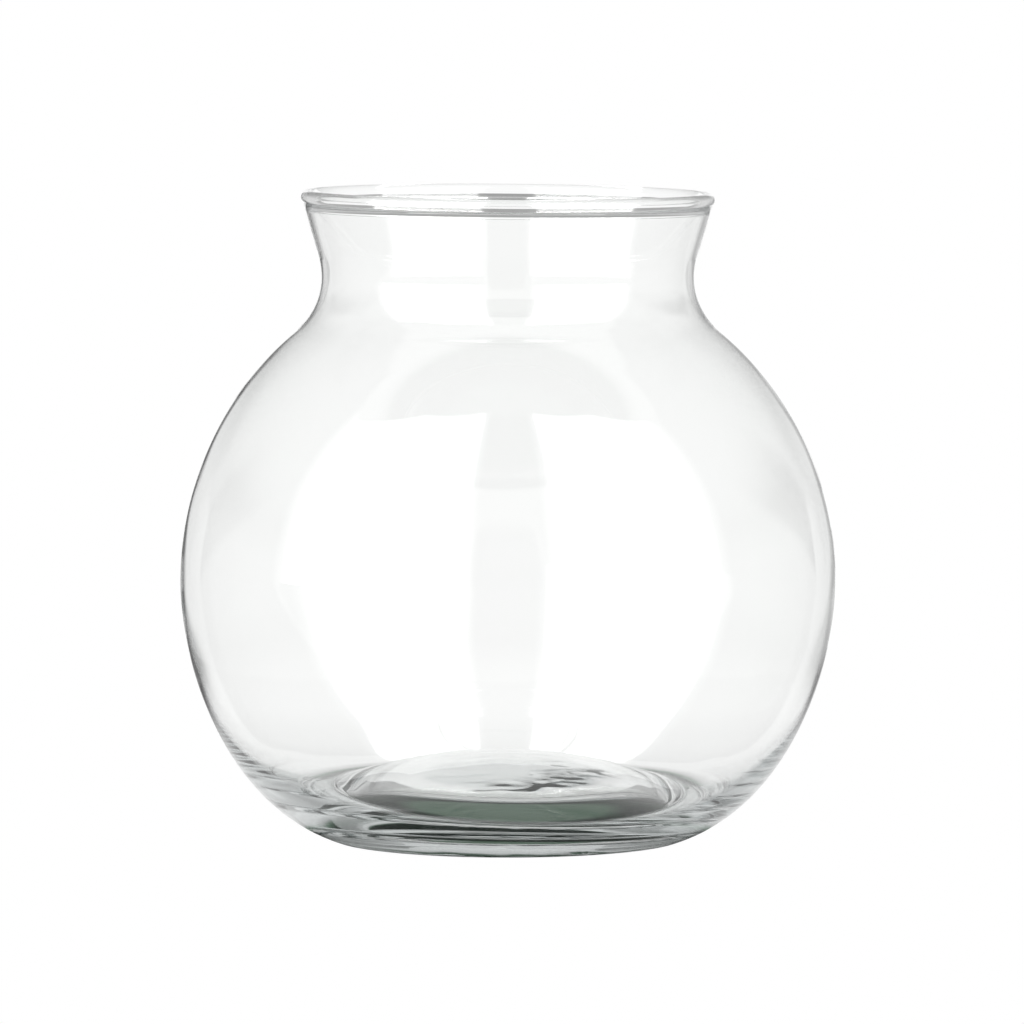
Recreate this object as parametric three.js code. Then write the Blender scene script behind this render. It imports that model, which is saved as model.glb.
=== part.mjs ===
// Round flower vase of clear glass: a near-spherical bowl, a drawn-in throat and a flared mouth
// with a rounded rim. It is blown in one piece, so it is one solid of revolution. Millimetres, +Z up.
// The origin is the centre of the foot ring, on the surface that the vase stands on.
import * as THREE from "three";

// Outside of the bowl
const BELLY_RADIUS = 101.5;
const BELLY_HEIGHT = 79.8; // foot to the widest circle
const SHOULDER_CURVE = 102.1; // profile radius above the widest circle
const UNDERBELLY_PULL = 24.5; // how far the profile holds straight down below the widest circle
const HEEL_PULL = 35.7; // how far it holds to the heel's slope on its way out from the foot
const HEEL_SLOPE = THREE.MathUtils.degToRad(18.3); // rise of the heel where it leaves the foot

// Neck and rim
const THROAT_RADIUS = 57.6; // narrowest outside radius
const THROAT_CURVE = 20.7; // profile radius of the hollow between shoulder and flare
const NECK_RISE = 26.6; // throat to the top of the rim
const MOUTH_RADIUS = 63.9; // outside of the rim bead
const BEAD_RADIUS = 2.2; // fire-polished bead along the rim
const BEAD_STEP = 0.4; // how far the bead stands out from the flare's outer face

// Foot
const FOOT_RADIUS = 54.2; // outer edge of the ring that it stands on
const FOOT_RING_WIDTH = 2; // flat width of that ring
const PUSH_UP = 13; // rise of the hollow under the base, at the axis

// Glass thickness
const NECK_WALL = 2;
const BELLY_WALL = 1.5;
const HEEL_WALL = 2.9; // sideways, where the bowl turns under
const HEEL_GLASS = 10.7; // upward from the foot's edge to the groove round the floor
const GROOVE_OUTSET = 2; // how far that groove lies outside the foot's edge
const FLOOR_GLASS = 11.7; // at the axis

// Fineness of the facets
const SIDES = 60;
const ARC_TURN = THREE.MathUtils.degToRad(10);
const BEAD_TURN = THREE.MathUtils.degToRad(30);
const BOWL_STEPS = 9;
const DOME_STEPS = 4;

const QUARTER_TURN = Math.PI / 2;

// Points of the profile are (radius, height)
const point = (radius, height) => new THREE.Vector2(radius, height);
const direction = (from, to) => to.clone().sub(from).angle();

function arc(centre, radius, start, end, turn) {
  const steps = Math.ceil(Math.abs(end - start) / turn);
  const points = [];
  for (let i = 0; i <= steps; i += 1) {
    const angle = start + ((end - start) * i) / steps;
    points.push(point(centre.x + radius * Math.cos(angle), centre.y + radius * Math.sin(angle)));
  }
  return points;
}

// Parabola from the axis out to the edge of a domed base
function dome(crownHeight, edge) {
  const points = [];
  for (let i = 0; i <= DOME_STEPS; i += 1) {
    const share = i / DOME_STEPS;
    points.push(point(edge.x * share, crownHeight + (edge.y - crownHeight) * share ** 2));
  }
  return points;
}

const shoulderCentre = point(BELLY_RADIUS - SHOULDER_CURVE, BELLY_HEIGHT);

// The throat's circle touches the shoulder's circle, on whichever face of the wall they both lie
function throatCentre(shoulderRadius, throatRadius) {
  const sideways = THROAT_RADIUS + THROAT_CURVE - shoulderCentre.x;
  const upward = Math.sqrt((shoulderRadius + throatRadius) ** 2 - sideways ** 2);
  return point(shoulderCentre.x + sideways, shoulderCentre.y + upward);
}

const throatHeight = throatCentre(SHOULDER_CURVE, THROAT_CURVE).y;
const beadCentre = point(MOUTH_RADIUS - BEAD_RADIUS, throatHeight + NECK_RISE - BEAD_RADIUS);

// Shoulder and throat of one face of the wall, set in from the outer face. From the throat's last point
// the flare runs straight on, without a kink, and meets the bead at beadAngle.
function upperFace(bellyInset, neckInset) {
  const shoulderRadius = SHOULDER_CURVE - bellyInset;
  const throatRadius = THROAT_CURVE + neckInset;
  const throat = throatCentre(shoulderRadius, throatRadius);
  const touch = direction(shoulderCentre, throat);
  const faceToBead = BEAD_RADIUS - BEAD_STEP - neckInset;
  const lean = Math.asin((throatRadius + faceToBead) / throat.distanceTo(beadCentre));
  const flare = direction(throat, beadCentre) - lean;
  return {
    points: [
      ...arc(shoulderCentre, shoulderRadius, 0, touch, ARC_TURN),
      ...arc(throat, throatRadius, touch + Math.PI, flare + QUARTER_TURN, ARC_TURN).slice(1),
    ],
    beadAngle: flare - QUARTER_TURN - Math.acos(faceToBead / BEAD_RADIUS),
  };
}

// The bowl below its widest circle, outside and inside, each from the base upward
const heelReach = point(Math.cos(HEEL_SLOPE), Math.sin(HEEL_SLOPE)).multiplyScalar(HEEL_PULL);
const footEdge = point(FOOT_RADIUS, 0);
const floorEdge = point(footEdge.x + GROOVE_OUTSET, footEdge.y + HEEL_GLASS);
const outerBowl = new THREE.CubicBezierCurve(
  footEdge,
  footEdge.clone().add(heelReach),
  point(BELLY_RADIUS, BELLY_HEIGHT - UNDERBELLY_PULL),
  point(BELLY_RADIUS, BELLY_HEIGHT),
);
const innerBowl = new THREE.CubicBezierCurve(
  floorEdge,
  point(footEdge.x + heelReach.x - HEEL_WALL, floorEdge.y),
  point(BELLY_RADIUS - BELLY_WALL, BELLY_HEIGHT - UNDERBELLY_PULL),
  point(BELLY_RADIUS - BELLY_WALL, BELLY_HEIGHT),
);

// Once round the section of the glass, from the axis underneath to the axis on the floor inside
function vesselProfile() {
  const outer = upperFace(0, 0);
  const inner = upperFace(BELLY_WALL, NECK_WALL);
  const underside = dome(PUSH_UP, point(FOOT_RADIUS - FOOT_RING_WIDTH, footEdge.y));
  const floor = dome(PUSH_UP + FLOOR_GLASS, floorEdge);
  const bead = arc(beadCentre, BEAD_RADIUS, outer.beadAngle, inner.beadAngle + 2 * Math.PI, BEAD_TURN);
  return [
    ...underside,
    ...outerBowl.getPoints(BOWL_STEPS),
    ...outer.points.slice(1),
    ...bead,
    ...inner.points.toReversed(),
    ...innerBowl.getPoints(BOWL_STEPS).toReversed().slice(1),
    ...floor.toReversed().slice(1),
  ];
}

function glassVessel() {
  const geometry = new THREE.LatheGeometry(vesselProfile(), SIDES);
  geometry.rotateX(QUARTER_TURN);
  const glass = new THREE.MeshStandardMaterial({
    color: 0xe6f0ec,
    roughness: 0.05,
    metalness: 0,
    transparent: true,
    opacity: 0.35,
  });
  const mesh = new THREE.Mesh(geometry, glass);
  mesh.name = "glass_vessel";
  return mesh;
}

const vase = new THREE.Group();
vase.add(glassVessel());

export default vase;
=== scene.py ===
import math

import bmesh
import bpy
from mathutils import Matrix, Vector, noise


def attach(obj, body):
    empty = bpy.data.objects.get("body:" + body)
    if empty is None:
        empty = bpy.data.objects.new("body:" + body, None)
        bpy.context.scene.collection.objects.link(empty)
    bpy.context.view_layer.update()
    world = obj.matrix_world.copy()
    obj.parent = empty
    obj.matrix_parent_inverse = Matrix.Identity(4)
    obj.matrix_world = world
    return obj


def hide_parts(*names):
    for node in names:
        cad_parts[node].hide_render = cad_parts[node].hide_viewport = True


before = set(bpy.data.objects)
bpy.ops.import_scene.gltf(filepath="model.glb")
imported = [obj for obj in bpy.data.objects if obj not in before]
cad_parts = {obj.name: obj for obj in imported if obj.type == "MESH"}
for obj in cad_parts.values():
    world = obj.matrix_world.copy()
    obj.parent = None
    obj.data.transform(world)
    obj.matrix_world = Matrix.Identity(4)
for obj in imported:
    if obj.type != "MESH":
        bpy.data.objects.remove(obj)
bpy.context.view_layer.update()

# Round flower vase of clear glass, blown in one piece: a near-spherical bowl, a drawn-in throat and a
# flared mouth with a fire-polished bead. Sizes of the glass are in millimetres, the scene is in metres.
MM = 0.001

# Outside of the bowl
BELLY_RADIUS = 101.5
BELLY_HEIGHT = 79.8
SHOULDER_CURVE = 102.1
UNDERBELLY_PULL = 24.5
HEEL_PULL = 35.7
HEEL_SLOPE = math.radians(18.3)

# Neck and rim
THROAT_RADIUS = 57.6
THROAT_CURVE = 20.7
NECK_RISE = 26.6
MOUTH_RADIUS = 63.9
BEAD_RADIUS = 2.2
BEAD_STEP = 0.4

# Foot and base
FOOT_RADIUS = 54.2
FOOT_RING_WIDTH = 1.0
PUSH_UP = 13.0
UNDER_POWER = 3.0
FLOOR_POWER = 2.0

# Glass thickness
NECK_WALL = 1.5
BELLY_WALL = 1.1
HEEL_WALL = 1.5
HEEL_GLASS = 10.7
GROOVE_OUTSET = 1.0
FLOOR_GLASS = 11.7

# Fineness of the mesh
SIDES = 256
ARC_STEPS = 36
BOWL_STEPS = 40
BEAD_STEPS = 22
DOME_STEPS = 40
FLARE_STEPS = 8
RING_STEPS = 4
MERGE_DISTANCE = 1e-6

# What the maker's hand leaves in blown glass: tilts of the floor, the underside and the rim
FLOOR_TILT = math.radians(1.1)
FLOOR_TILT_BACK = math.radians(2.2)
FLOOR_TILT_FADE = (4, 30)  # outward from the foot's edge
UNDER_TILT = math.radians(-0.65)
UNDER_TILT_BACK = math.radians(2.0)
UNDER_TILT_FADE = 6  # inward from the foot ring
BASE_TOP = (40, 60)  # heights between which the base's marks fade out
RIM_TILT = math.radians(0.5)
RIM_TILT_RISE = (170, 198)

# Ripple of the wall, and the heights between which it fades in and out
RIPPLE_LENGTH = 16.0
RIPPLE_DEPTH = 0.03
RIPPLE_FADE_IN = (30, 60)
RIPPLE_FADE_OUT = (170, 185)
RIPPLE_INNER_SEED = 7.3

# Chill marks on the floor
CHILL_DEPTH = 0.1
CHILL_CENTRE = (6, -12)
CHILL_CORE = 14
CHILL_REACH = 34
CHILL_LENGTH = 10
CHILL_BREADTH = 4
CHILL_DRIFT = 6
CHILL_DRIFT_LENGTH = 20
CHILL_SEED = 2.0
CHILL_DRIFT_SEED = 5.0

# Clear glass
GLASS_IOR = 1.52
GLASS_CASTS = ("#fefffe", "#ffffff")
CAST_SIZE = 60
DEPTH_TINT = "#aab4b4"
DEPTH_DENSITY = 5.0
WORN_HEIGHT = 0.1  # below this the foot ring is fully rubbed
CLEAR_HEIGHT = 0.6  # above this it is clear
WORN_ROUGHNESS = 0.3


def linear(hex_colour):
    """sRGB hex value to the linear colour that the shader takes."""
    channels = [int(hex_colour[i:i + 2], 16) / 255 for i in (1, 3, 5)]
    lifted = [c / 12.92 if c <= 0.04045 else ((c + 0.055) / 1.055) ** 2.4 for c in channels]
    return (*lifted, 1.0)


def add_node(tree, kind, inputs=(), stops=(), **settings):
    """Adds one node with its settings. An input, by name or place, is linked from a socket or set
    to a value."""
    made = tree.nodes.new(kind)
    for name, value in settings.items():
        setattr(made, name, value)
    for place, value in dict(inputs).items():
        if isinstance(value, bpy.types.NodeSocket):
            tree.links.new(value, made.inputs[place])
        else:
            made.inputs[place].default_value = value
    for i, (position, level) in enumerate(stops):
        elements = made.color_ramp.elements
        stop = elements[i] if i < 2 else elements.new(position)
        stop.position = position
        stop.color = (level, level, level, 1)
    return made


# The profile of the glass. Its points are (radius, height)
def arc(centre, radius, start, end, steps):
    turns = [start + (end - start) * i / steps for i in range(steps + 1)]
    return [(centre[0] + radius * math.cos(t), centre[1] + radius * math.sin(t)) for t in turns]


def curve(a, b, c, d, steps):
    """Cubic Bezier curve."""
    points = []
    for i in range(steps + 1):
        t = i / steps
        weights = ((1 - t) ** 3, 3 * t * (1 - t) ** 2, 3 * t * t * (1 - t), t ** 3)
        points.append(tuple(sum(w * p[k] for w, p in zip(weights, (a, b, c, d))) for k in (0, 1)))
    return points


def dome(crown_height, edge, power, steps):
    """Dome of a base, from the axis out to its edge: a parabola where the power is 2."""
    shares = [i / steps for i in range(steps + 1)]
    return [(edge[0] * s, crown_height + (edge[1] - crown_height) * s ** power) for s in shares]


def straight(a, b, steps):
    """Points between a and b, both left out."""
    across = b[0] - a[0]
    upward = b[1] - a[1]
    return [(a[0] + across * i / steps, a[1] + upward * i / steps) for i in range(1, steps)]


SHOULDER_CENTRE = (BELLY_RADIUS - SHOULDER_CURVE, BELLY_HEIGHT)


def throat_centre(shoulder_radius, throat_radius):
    """The throat's circle touches the shoulder's circle."""
    sideways = THROAT_RADIUS + THROAT_CURVE - SHOULDER_CENTRE[0]
    upward = math.sqrt((shoulder_radius + throat_radius) ** 2 - sideways ** 2)
    return (SHOULDER_CENTRE[0] + sideways, SHOULDER_CENTRE[1] + upward)


THROAT_HEIGHT = throat_centre(SHOULDER_CURVE, THROAT_CURVE)[1]
BEAD_CENTRE = (MOUTH_RADIUS - BEAD_RADIUS, THROAT_HEIGHT + NECK_RISE - BEAD_RADIUS)


def upper_face(belly_inset, neck_inset):
    """Shoulder and throat of one face of the wall, and the angle at which its flare meets the bead."""
    shoulder_radius = SHOULDER_CURVE - belly_inset
    throat_radius = THROAT_CURVE + neck_inset
    throat = throat_centre(shoulder_radius, throat_radius)
    touch = math.atan2(throat[1] - SHOULDER_CENTRE[1], throat[0] - SHOULDER_CENTRE[0])
    to_bead = (BEAD_CENTRE[0] - throat[0], BEAD_CENTRE[1] - throat[1])
    face_to_bead = BEAD_RADIUS - BEAD_STEP - neck_inset
    lean = math.asin((throat_radius + face_to_bead) / math.hypot(*to_bead))
    flare = math.atan2(to_bead[1], to_bead[0]) - lean
    shoulder = arc(SHOULDER_CENTRE, shoulder_radius, 0, touch, ARC_STEPS)
    hollow = arc(throat, throat_radius, touch + math.pi, flare + math.pi / 2, ARC_STEPS // 2)
    bead_angle = flare - math.pi / 2 - math.acos(face_to_bead / BEAD_RADIUS)
    return shoulder + hollow[1:], bead_angle


def vessel_profile():
    """Outer and inner face of the glass, each from the axis up to the rim."""
    reach = (HEEL_PULL * math.cos(HEEL_SLOPE), HEEL_PULL * math.sin(HEEL_SLOPE))
    foot_edge = (FOOT_RADIUS, 0)
    floor_edge = (FOOT_RADIUS + GROOVE_OUTSET, HEEL_GLASS)
    low = BELLY_HEIGHT - UNDERBELLY_PULL
    wide_out = BELLY_RADIUS
    wide_in = BELLY_RADIUS - BELLY_WALL
    heel_out = (FOOT_RADIUS + reach[0], reach[1])
    heel_in = (FOOT_RADIUS + reach[0] - HEEL_WALL, HEEL_GLASS)
    outer_bowl = curve(foot_edge, heel_out, (wide_out, low), (wide_out, BELLY_HEIGHT), BOWL_STEPS)
    inner_bowl = curve(floor_edge, heel_in, (wide_in, low), (wide_in, BELLY_HEIGHT), BOWL_STEPS)
    underside = dome(PUSH_UP, (FOOT_RADIUS - FOOT_RING_WIDTH, 0), UNDER_POWER, DOME_STEPS)
    floor = dome(PUSH_UP + FLOOR_GLASS, floor_edge, FLOOR_POWER, DOME_STEPS)
    outer_upper, outer_angle = upper_face(0, 0)
    inner_upper, inner_angle = upper_face(BELLY_WALL, NECK_WALL)
    bead = arc(BEAD_CENTRE, BEAD_RADIUS, outer_angle, inner_angle + 2 * math.pi, BEAD_STEPS)
    ring = straight(underside[-1], foot_edge, RING_STEPS)
    outer = underside + ring + outer_bowl + outer_upper[1:]
    outer += straight(outer_upper[-1], bead[0], FLARE_STEPS) + bead
    inner = floor + inner_bowl[1:] + inner_upper[1:]
    inner += straight(inner_upper[-1], bead[-1], FLARE_STEPS)
    return outer, inner


def ease(value, low, high):
    """Smooth step from 0 at low to 1 at high."""
    t = min(1.0, max(0.0, (value - low) / (high - low)))
    return t * t * (3 - 2 * t)


def chill_marks(x, y):
    """Flow lines on the floor, where the first of the glass set against the mould."""
    wander = Vector((x / CHILL_DRIFT_LENGTH, y / CHILL_DRIFT_LENGTH, CHILL_DRIFT_SEED))
    drift = CHILL_DRIFT * noise.noise(wander)
    fade = 1 - ease(math.hypot(x - CHILL_CENTRE[0], y - CHILL_CENTRE[1]), CHILL_CORE, CHILL_REACH)
    line = Vector((x / CHILL_LENGTH, (y + drift) / CHILL_BREADTH, CHILL_SEED))
    return CHILL_DEPTH * fade * noise.noise(line)


def hand_of_the_maker(x, y, z, inside):
    """How far a point of the glass lies from the exact round shape, in millimetres."""
    radius = math.hypot(x, y)
    low = 1 - ease(z, *BASE_TOP)
    shift = Vector((0, 0, -math.sin(RIM_TILT) * x * ease(z, *RIM_TILT_RISE)))
    if inside:
        base = (1 - ease(radius - FOOT_RADIUS, *FLOOR_TILT_FADE)) * low
        shift.z += (math.sin(FLOOR_TILT_BACK) * y - math.sin(FLOOR_TILT) * x) * base
        shift.z += chill_marks(x, y) * low
    else:
        ring = FOOT_RADIUS - FOOT_RING_WIDTH
        under = (1 - ease(radius, ring - UNDER_TILT_FADE, ring)) * low
        shift.z += (math.sin(UNDER_TILT_BACK) * y - math.sin(UNDER_TILT) * x) * under
    if radius > 1:
        wall = ease(z, *RIPPLE_FADE_IN) * (1 - ease(z, *RIPPLE_FADE_OUT))
        spot = Vector((x, y, z)) / RIPPLE_LENGTH + Vector((0, 0, RIPPLE_INNER_SEED * inside))
        ripple = RIPPLE_DEPTH * noise.noise(spot)
        shift += Vector((x, y, 0)) / radius * ripple * wall
    return shift


def glass_vessel():
    outer, inner = vessel_profile()
    section = outer + inner[::-1]
    bm = bmesh.new()
    inside = bm.verts.layers.int.new("inside")
    chain = []
    for i, (radius, height) in enumerate(section):
        vertex = bm.verts.new((radius * MM, 0, height * MM))
        vertex[inside] = int(i >= len(outer))
        chain.append(vertex)
    edges = [bm.edges.new(pair) for pair in zip(chain, chain[1:])]
    bmesh.ops.spin(
        bm, geom=chain + edges, cent=(0, 0, 0), axis=(0, 0, 1), angle=2 * math.pi, steps=SIDES,
        use_merge=True,
    )
    bmesh.ops.remove_doubles(bm, verts=bm.verts, dist=MERGE_DISTANCE)
    bmesh.ops.recalc_face_normals(bm, faces=bm.faces)
    for vertex in bm.verts:
        shift = hand_of_the_maker(*(vertex.co / MM), vertex[inside])
        vertex.co += shift * MM
    for face in bm.faces:
        face.smooth = True
    mesh = bpy.data.meshes.new("blown_glass_vase")
    bm.to_mesh(mesh)
    bm.free()
    vase = bpy.data.objects.new("blown_glass_vase", mesh)
    bpy.context.collection.objects.link(vase)
    return vase


def clear_glass():
    """Soda-lime glass, blown and fire-polished: clear in the wall, grey-green where it is thick, and
    rubbed dull only on the ring that it stands on."""
    material = bpy.data.materials.new("blown_soda_lime_glass")
    material.use_nodes = True
    tree = material.node_tree
    tree.nodes.clear()
    place = add_node(tree, "ShaderNodeTexCoord").outputs["Object"]
    height = add_node(tree, "ShaderNodeSeparateXYZ", {0: place}).outputs["Z"]
    wear = add_node(
        tree, "ShaderNodeMapRange",
        {
            "Value": height,
            "From Min": CLEAR_HEIGHT * MM,
            "From Max": WORN_HEIGHT * MM,
            "To Min": 0.0,
            "To Max": WORN_ROUGHNESS,
        },
    )
    cast = add_node(
        tree, "ShaderNodeTexNoise", {"Vector": place, "Scale": 1 / (CAST_SIZE * MM), "Detail": 2.0}
    )
    tone = add_node(
        tree, "ShaderNodeMix",
        {0: cast.outputs["Fac"], 6: linear(GLASS_CASTS[0]), 7: linear(GLASS_CASTS[1])},
        data_type="RGBA",
    )
    glass = add_node(
        tree, "ShaderNodeBsdfPrincipled",
        {
            "Base Color": tone.outputs[2],
            "Roughness": wear.outputs[0],
            "IOR": GLASS_IOR,
            "Transmission Weight": 1.0,
        },
    )
    tint = add_node(
        tree, "ShaderNodeVolumeAbsorption", {"Color": linear(DEPTH_TINT), "Density": DEPTH_DENSITY}
    )
    add_node(tree, "ShaderNodeOutputMaterial", {"Surface": glass.outputs[0], "Volume": tint.outputs[0]})
    return material


vase = glass_vessel()
vase.data.materials.append(clear_glass())
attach(vase, "root")
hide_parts("glass_vessel")

# Studio, which the camera sees as white. Bearings are in degrees from the camera's side, to the right.
# In the glass the backdrop is bright, dark strips at its two ends draw the outline, and two soft boxes
# stand in front, left and right, with a gap between them. The soft boxes are at full strength in
# single reflections only, and otherwise as pale as a wall.
FLOOR_REACH = 40.0
FLOOR_SEGMENTS = 64
FLOOR_DROP = 0.0002
LAMP = 11.0
HORIZON_LIGHT = (
    (-180, 1.02), (-172.6, 1.0), (-171.2, 0.15), (-165, 0.15), (-162.5, 0.72), (-91, 0.66),
    (-85, 1.5), (-83, LAMP), (-17, LAMP), (-15, 1.6), (-11, 0.5),
    (13, 0.5), (17, 1.6), (19, LAMP), (77, LAMP), (79, 1.5),
    (85, 0.66), (161, 0.72), (163, 0.45), (170.6, 0.45), (172, 1.0), (180, 1.02),
)
UPPER_LIGHT = (
    (-180, 0.36), (-150, 0.36), (-140, 0.45), (-91, 0.45),
    (-85, 1.5), (-83, LAMP), (-17, LAMP), (-15, 1.6), (-11, 0.62),
    (13, 0.62), (17, 1.6), (19, LAMP), (77, LAMP), (79, 1.5),
    (85, 0.45), (140, 0.45), (150, 0.36), (180, 0.36),
)
CEILING_LIGHT = 0.82

# Sines of the elevations between which the horizon's light gives way to the upper light
UPPER_START = math.sin(math.radians(3)), math.sin(math.radians(14))

# Sine of the elevation of the lamps' top edge by bearing, and half the softness of that edge
LAMP_TOP = (
    (-180, 0.88), (-100, 0.86), (-84, 0.72), (-53, 0.845), (-12, 0.9),
    (12, 0.9), (53, 0.845), (84, 0.72), (100, 0.86), (180, 0.88),
)
LAMP_TOP_EDGE = 0.015
BRIGHTEST_WALL = 1.1
LAMP_SEEN_THROUGH = 0.82
# Painted light of the floor in the bearings below the lamps, dimmer than the plain floor
FLOOR_BELOW_LAMP = 0.84

# Light of the floor by distance from the axis in millimetres: a painted shade under and around the
# foot.
# The painted shade is tinted green where it is dark, and the tint fades out between two levels of
# light.
PAINTED_FOOT_SHADE = ((0, 0.2), (36, 0.2), (44, 0.02), (74, 0.02), (80, 0.6), (86, 0.92), (160, 0.95))
SHADE_REACH = 160
PAINTED_SHADE_TINT = "#b0d6bb"
SHADE_TINT_LEVELS = (0.2, 0.5)
SHADE_SQUEEZE = (1.2, 1.0, 0.0)
SHADE_FORWARD = 0.004

# Beyond the painted shade, between two distances in metres, the floor's glow takes the horizon's light
# by bearing as painted light. The point that the bearing is taken from moves forward for floor that
# lies further back.
NEAR_FLOOR = 0.15
FAR_FLOOR = 0.32
BEARING_SHIFT = 0.65
BEARING_SHIFT_SPAN = 0.3

# Card behind the vase, in metres: its right edge as half widths and heights, and how far back it stands
CARD_OUTLINE = ((0.18, 0.0), (0.18, 0.11), (0.135, 0.17), (0.135, 0.3))
CARD_DISTANCE = 0.45
CARD_LIGHT = 1.02

# Camera of the photo
CAMERA_PLACE = (0, -2.6465, 0.3023)
CAMERA_DOWN = 4.344  # degrees below level
CAMERA_SENSOR = 36
CAMERA_LENS = 301.6
CAMERA_SHIFT = 0.0041
CAMERA_CLIP = 100
LIGHT_BOUNCES = 96


def light_by_bearing(tree, direction, levels):
    """Nodes that give a level by bearing, for a direction out from the vase."""
    split = add_node(tree, "ShaderNodeSeparateXYZ", {0: direction})
    toward = add_node(tree, "ShaderNodeMath", {0: split.outputs["Y"], 1: -1.0}, operation="MULTIPLY")
    bearing = add_node(
        tree, "ShaderNodeMath", {0: split.outputs["X"], 1: toward.outputs[0]}, operation="ARCTAN2"
    )
    turn = add_node(
        tree, "ShaderNodeMapRange",
        {"Value": bearing.outputs[0], "From Min": -math.pi, "From Max": math.pi},
    )
    stops = [(0.5 + degrees / 360, level) for degrees, level in levels]
    return add_node(tree, "ShaderNodeValToRGB", {0: turn.outputs[0]}, stops=stops).outputs[0]


def as_seen(tree, level):
    """Nodes that show the studio white to the camera, and its lamps at full strength in single
    reflections only."""
    path = add_node(tree, "ShaderNodeLightPath")
    once = add_node(
        tree, "ShaderNodeMath", {0: path.outputs["Glossy Depth"], 1: 1.0, 2: 0.5}, operation="COMPARE"
    )
    strong = add_node(tree, "ShaderNodeMath", {0: level, 1: BRIGHTEST_WALL}, operation="GREATER_THAN")
    dimmed = add_node(
        tree, "ShaderNodeMath", {0: strong.outputs[0], 1: once.outputs[0]}, operation="SUBTRACT",
        use_clamp=True,
    )
    lit = add_node(tree, "ShaderNodeMix", {0: dimmed.outputs[0], 2: level, 3: LAMP_SEEN_THROUGH})
    shown = add_node(
        tree, "ShaderNodeMix", {0: path.outputs["Is Camera Ray"], 2: lit.outputs[0], 3: 1.0}
    )
    return shown.outputs[0]


def studio_floor():
    bm = bmesh.new()
    bmesh.ops.create_circle(bm, cap_ends=True, radius=FLOOR_REACH, segments=FLOOR_SEGMENTS)
    bmesh.ops.translate(bm, verts=bm.verts, vec=(0, 0, -FLOOR_DROP))
    mesh = bpy.data.meshes.new("studio_floor")
    bm.to_mesh(mesh)
    bm.free()
    floor = bpy.data.objects.new("studio_floor", mesh)
    bpy.context.collection.objects.link(floor)
    material = bpy.data.materials.new("paper_with_painted_light_and_shade")
    material.use_nodes = True
    tree = material.node_tree
    tree.nodes.clear()
    place = add_node(tree, "ShaderNodeTexCoord").outputs["Object"]
    radius = add_node(tree, "ShaderNodeVectorMath", {0: place}, operation="LENGTH").outputs["Value"]
    squeezed = add_node(
        tree, "ShaderNodeVectorMath", {0: place, 1: SHADE_SQUEEZE, 2: (0, SHADE_FORWARD, 0)},
        operation="MULTIPLY_ADD",
    )
    shaded = add_node(tree, "ShaderNodeVectorMath", {0: squeezed.outputs[0]}, operation="LENGTH")
    share = add_node(
        tree, "ShaderNodeMath", {0: shaded.outputs["Value"], 1: SHADE_REACH * MM}, operation="DIVIDE",
        use_clamp=True,
    )
    stops = [(distance / SHADE_REACH, level) for distance, level in PAINTED_FOOT_SHADE]
    near = add_node(tree, "ShaderNodeValToRGB", {0: share.outputs[0]}, stops=stops)
    depth = add_node(tree, "ShaderNodeSeparateXYZ", {0: place}).outputs["Y"]
    shift = add_node(
        tree, "ShaderNodeMapRange",
        {
            "Value": depth,
            "From Min": -BEARING_SHIFT_SPAN,
            "From Max": BEARING_SHIFT_SPAN,
            "To Max": BEARING_SHIFT,
        },
        interpolation_type="SMOOTHSTEP",
    )
    behind = add_node(tree, "ShaderNodeCombineXYZ", {"Y": shift.outputs[0]})
    outward = add_node(tree, "ShaderNodeVectorMath", {0: place, 1: behind.outputs[0]}, operation="ADD")
    far = light_by_bearing(tree, outward.outputs[0], HORIZON_LIGHT)
    out = add_node(
        tree, "ShaderNodeMapRange", {"Value": radius, "From Min": NEAR_FLOOR, "From Max": FAR_FLOOR},
        interpolation_type="SMOOTHSTEP",
    )
    # Painted light of the far floor: no brighter than plain white, and dimmer in the bearings below the
    # lamps
    below_lamp = add_node(
        tree, "ShaderNodeMapRange",
        {"Value": far, "From Min": BRIGHTEST_WALL, "From Max": 2 * BRIGHTEST_WALL},
    )
    plain = add_node(tree, "ShaderNodeMath", {0: far, 1: 1.0}, operation="MINIMUM")
    painted_far_light = add_node(
        tree, "ShaderNodeMix", {0: below_lamp.outputs[0], 2: plain.outputs[0], 3: FLOOR_BELOW_LAMP}
    )
    lit = add_node(tree, "ShaderNodeMix", {0: out.outputs[0], 2: near.outputs[0], 3: painted_far_light.outputs[0]})
    shown = as_seen(tree, lit.outputs[0])
    seen = add_node(tree, "ShaderNodeLightPath").outputs["Is Camera Ray"]
    bare = add_node(
        tree, "ShaderNodeMapRange",
        {
            "Value": near.outputs[0],
            "From Min": SHADE_TINT_LEVELS[0],
            "From Max": SHADE_TINT_LEVELS[1],
        },
    )
    clean = add_node(tree, "ShaderNodeMath", {0: seen, 1: bare.outputs[0]}, operation="MAXIMUM")
    tone = add_node(
        tree, "ShaderNodeMix", {0: clean.outputs[0], 6: linear(PAINTED_SHADE_TINT), 7: (1, 1, 1, 1)},
        data_type="RGBA",
    )
    # The floor glows: its emission carries the painted shade under the foot and painted light by
    # bearing
    paper = add_node(tree, "ShaderNodeEmission", {"Color": tone.outputs[2], "Strength": shown})
    add_node(tree, "ShaderNodeOutputMaterial", {"Surface": paper.outputs[0]})
    mesh.materials.append(material)


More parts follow.
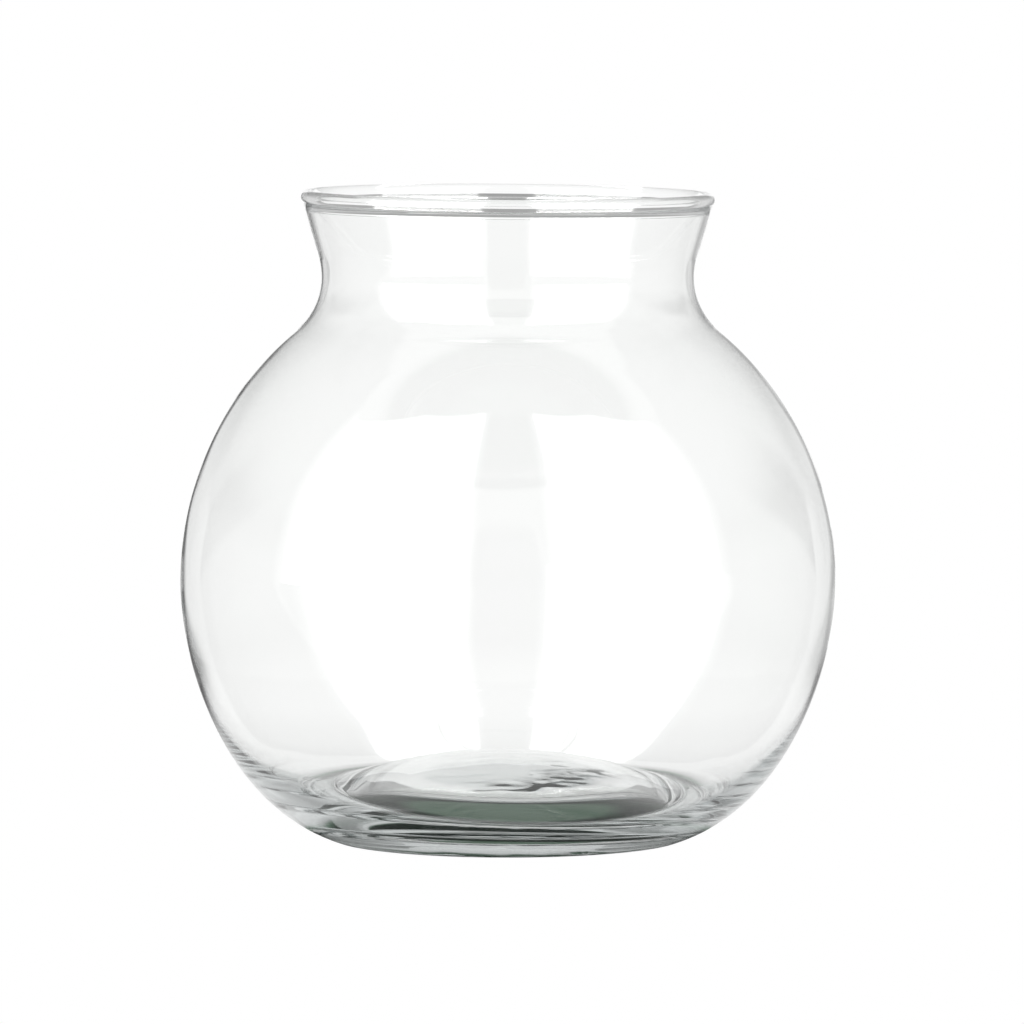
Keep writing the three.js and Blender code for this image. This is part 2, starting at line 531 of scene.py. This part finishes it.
def back_card():
    """White card behind the vase. It is seen through the glass and in it, but not straight by the
    camera. It narrows beside the neck, so that the dark strips draw the edge there too."""
    bm = bmesh.new()
    right = [(x, CARD_DISTANCE, z) for x, z in CARD_OUTLINE]
    left = [(-x, y, z) for x, y, z in reversed(right)]
    bm.faces.new([bm.verts.new(corner) for corner in right + left])
    mesh = bpy.data.meshes.new("back_card")
    bm.to_mesh(mesh)
    bm.free()
    card = bpy.data.objects.new("back_card", mesh)
    bpy.context.collection.objects.link(card)
    card.visible_camera = False
    material = bpy.data.materials.new("lit_white_card")
    material.use_nodes = True
    tree = material.node_tree
    tree.nodes.clear()
    paper = add_node(tree, "ShaderNodeEmission", {"Strength": CARD_LIGHT})
    add_node(tree, "ShaderNodeOutputMaterial", {"Surface": paper.outputs[0]})
    mesh.materials.append(material)


def studio_light():
    world = bpy.data.worlds.new("studio")
    bpy.context.scene.world = world
    world.use_nodes = True
    tree = world.node_tree
    tree.nodes.clear()
    direction = add_node(tree, "ShaderNodeTexCoord").outputs["Generated"]
    up = add_node(tree, "ShaderNodeSeparateXYZ", {0: direction}).outputs["Z"]
    horizon = light_by_bearing(tree, direction, HORIZON_LIGHT)
    upper = light_by_bearing(tree, direction, UPPER_LIGHT)
    rise = add_node(
        tree, "ShaderNodeMapRange",
        {"Value": up, "From Min": UPPER_START[0], "From Max": UPPER_START[1]},
        interpolation_type="SMOOTHSTEP",
    )
    lamp_top = light_by_bearing(tree, direction, LAMP_TOP)
    above = add_node(tree, "ShaderNodeMath", {0: up, 1: lamp_top}, operation="SUBTRACT")
    over = add_node(
        tree, "ShaderNodeMapRange",
        {"Value": above.outputs[0], "From Min": -LAMP_TOP_EDGE, "From Max": LAMP_TOP_EDGE},
        interpolation_type="SMOOTHSTEP",
    )
    walls = add_node(tree, "ShaderNodeMix", {0: rise.outputs[0], 2: horizon, 3: upper})
    lit = add_node(tree, "ShaderNodeMix", {0: over.outputs[0], 2: walls.outputs[0], 3: CEILING_LIGHT})
    shown = as_seen(tree, lit.outputs[0])
    sky = add_node(tree, "ShaderNodeBackground", {"Color": (1, 1, 1, 1), "Strength": shown})
    add_node(tree, "ShaderNodeOutputWorld", {"Surface": sky.outputs[0]})


def photo_camera():
    data = bpy.data.cameras.new("photo_camera")
    data.sensor_width = CAMERA_SENSOR
    data.lens = CAMERA_LENS
    data.shift_x = CAMERA_SHIFT
    data.clip_end = CAMERA_CLIP
    camera = bpy.data.objects.new("photo_camera", data)
    bpy.context.collection.objects.link(camera)
    camera.location = CAMERA_PLACE
    camera.rotation_euler = (math.radians(90 - CAMERA_DOWN), 0, 0)
    bpy.context.scene.camera = camera


studio_floor()
back_card()
studio_light()
photo_camera()
scene = bpy.context.scene
scene.view_settings.view_transform = "Standard"
scene.cycles.max_bounces = LIGHT_BOUNCES
scene.cycles.transmission_bounces = LIGHT_BOUNCES
scene.cycles.glossy_bounces = LIGHT_BOUNCES
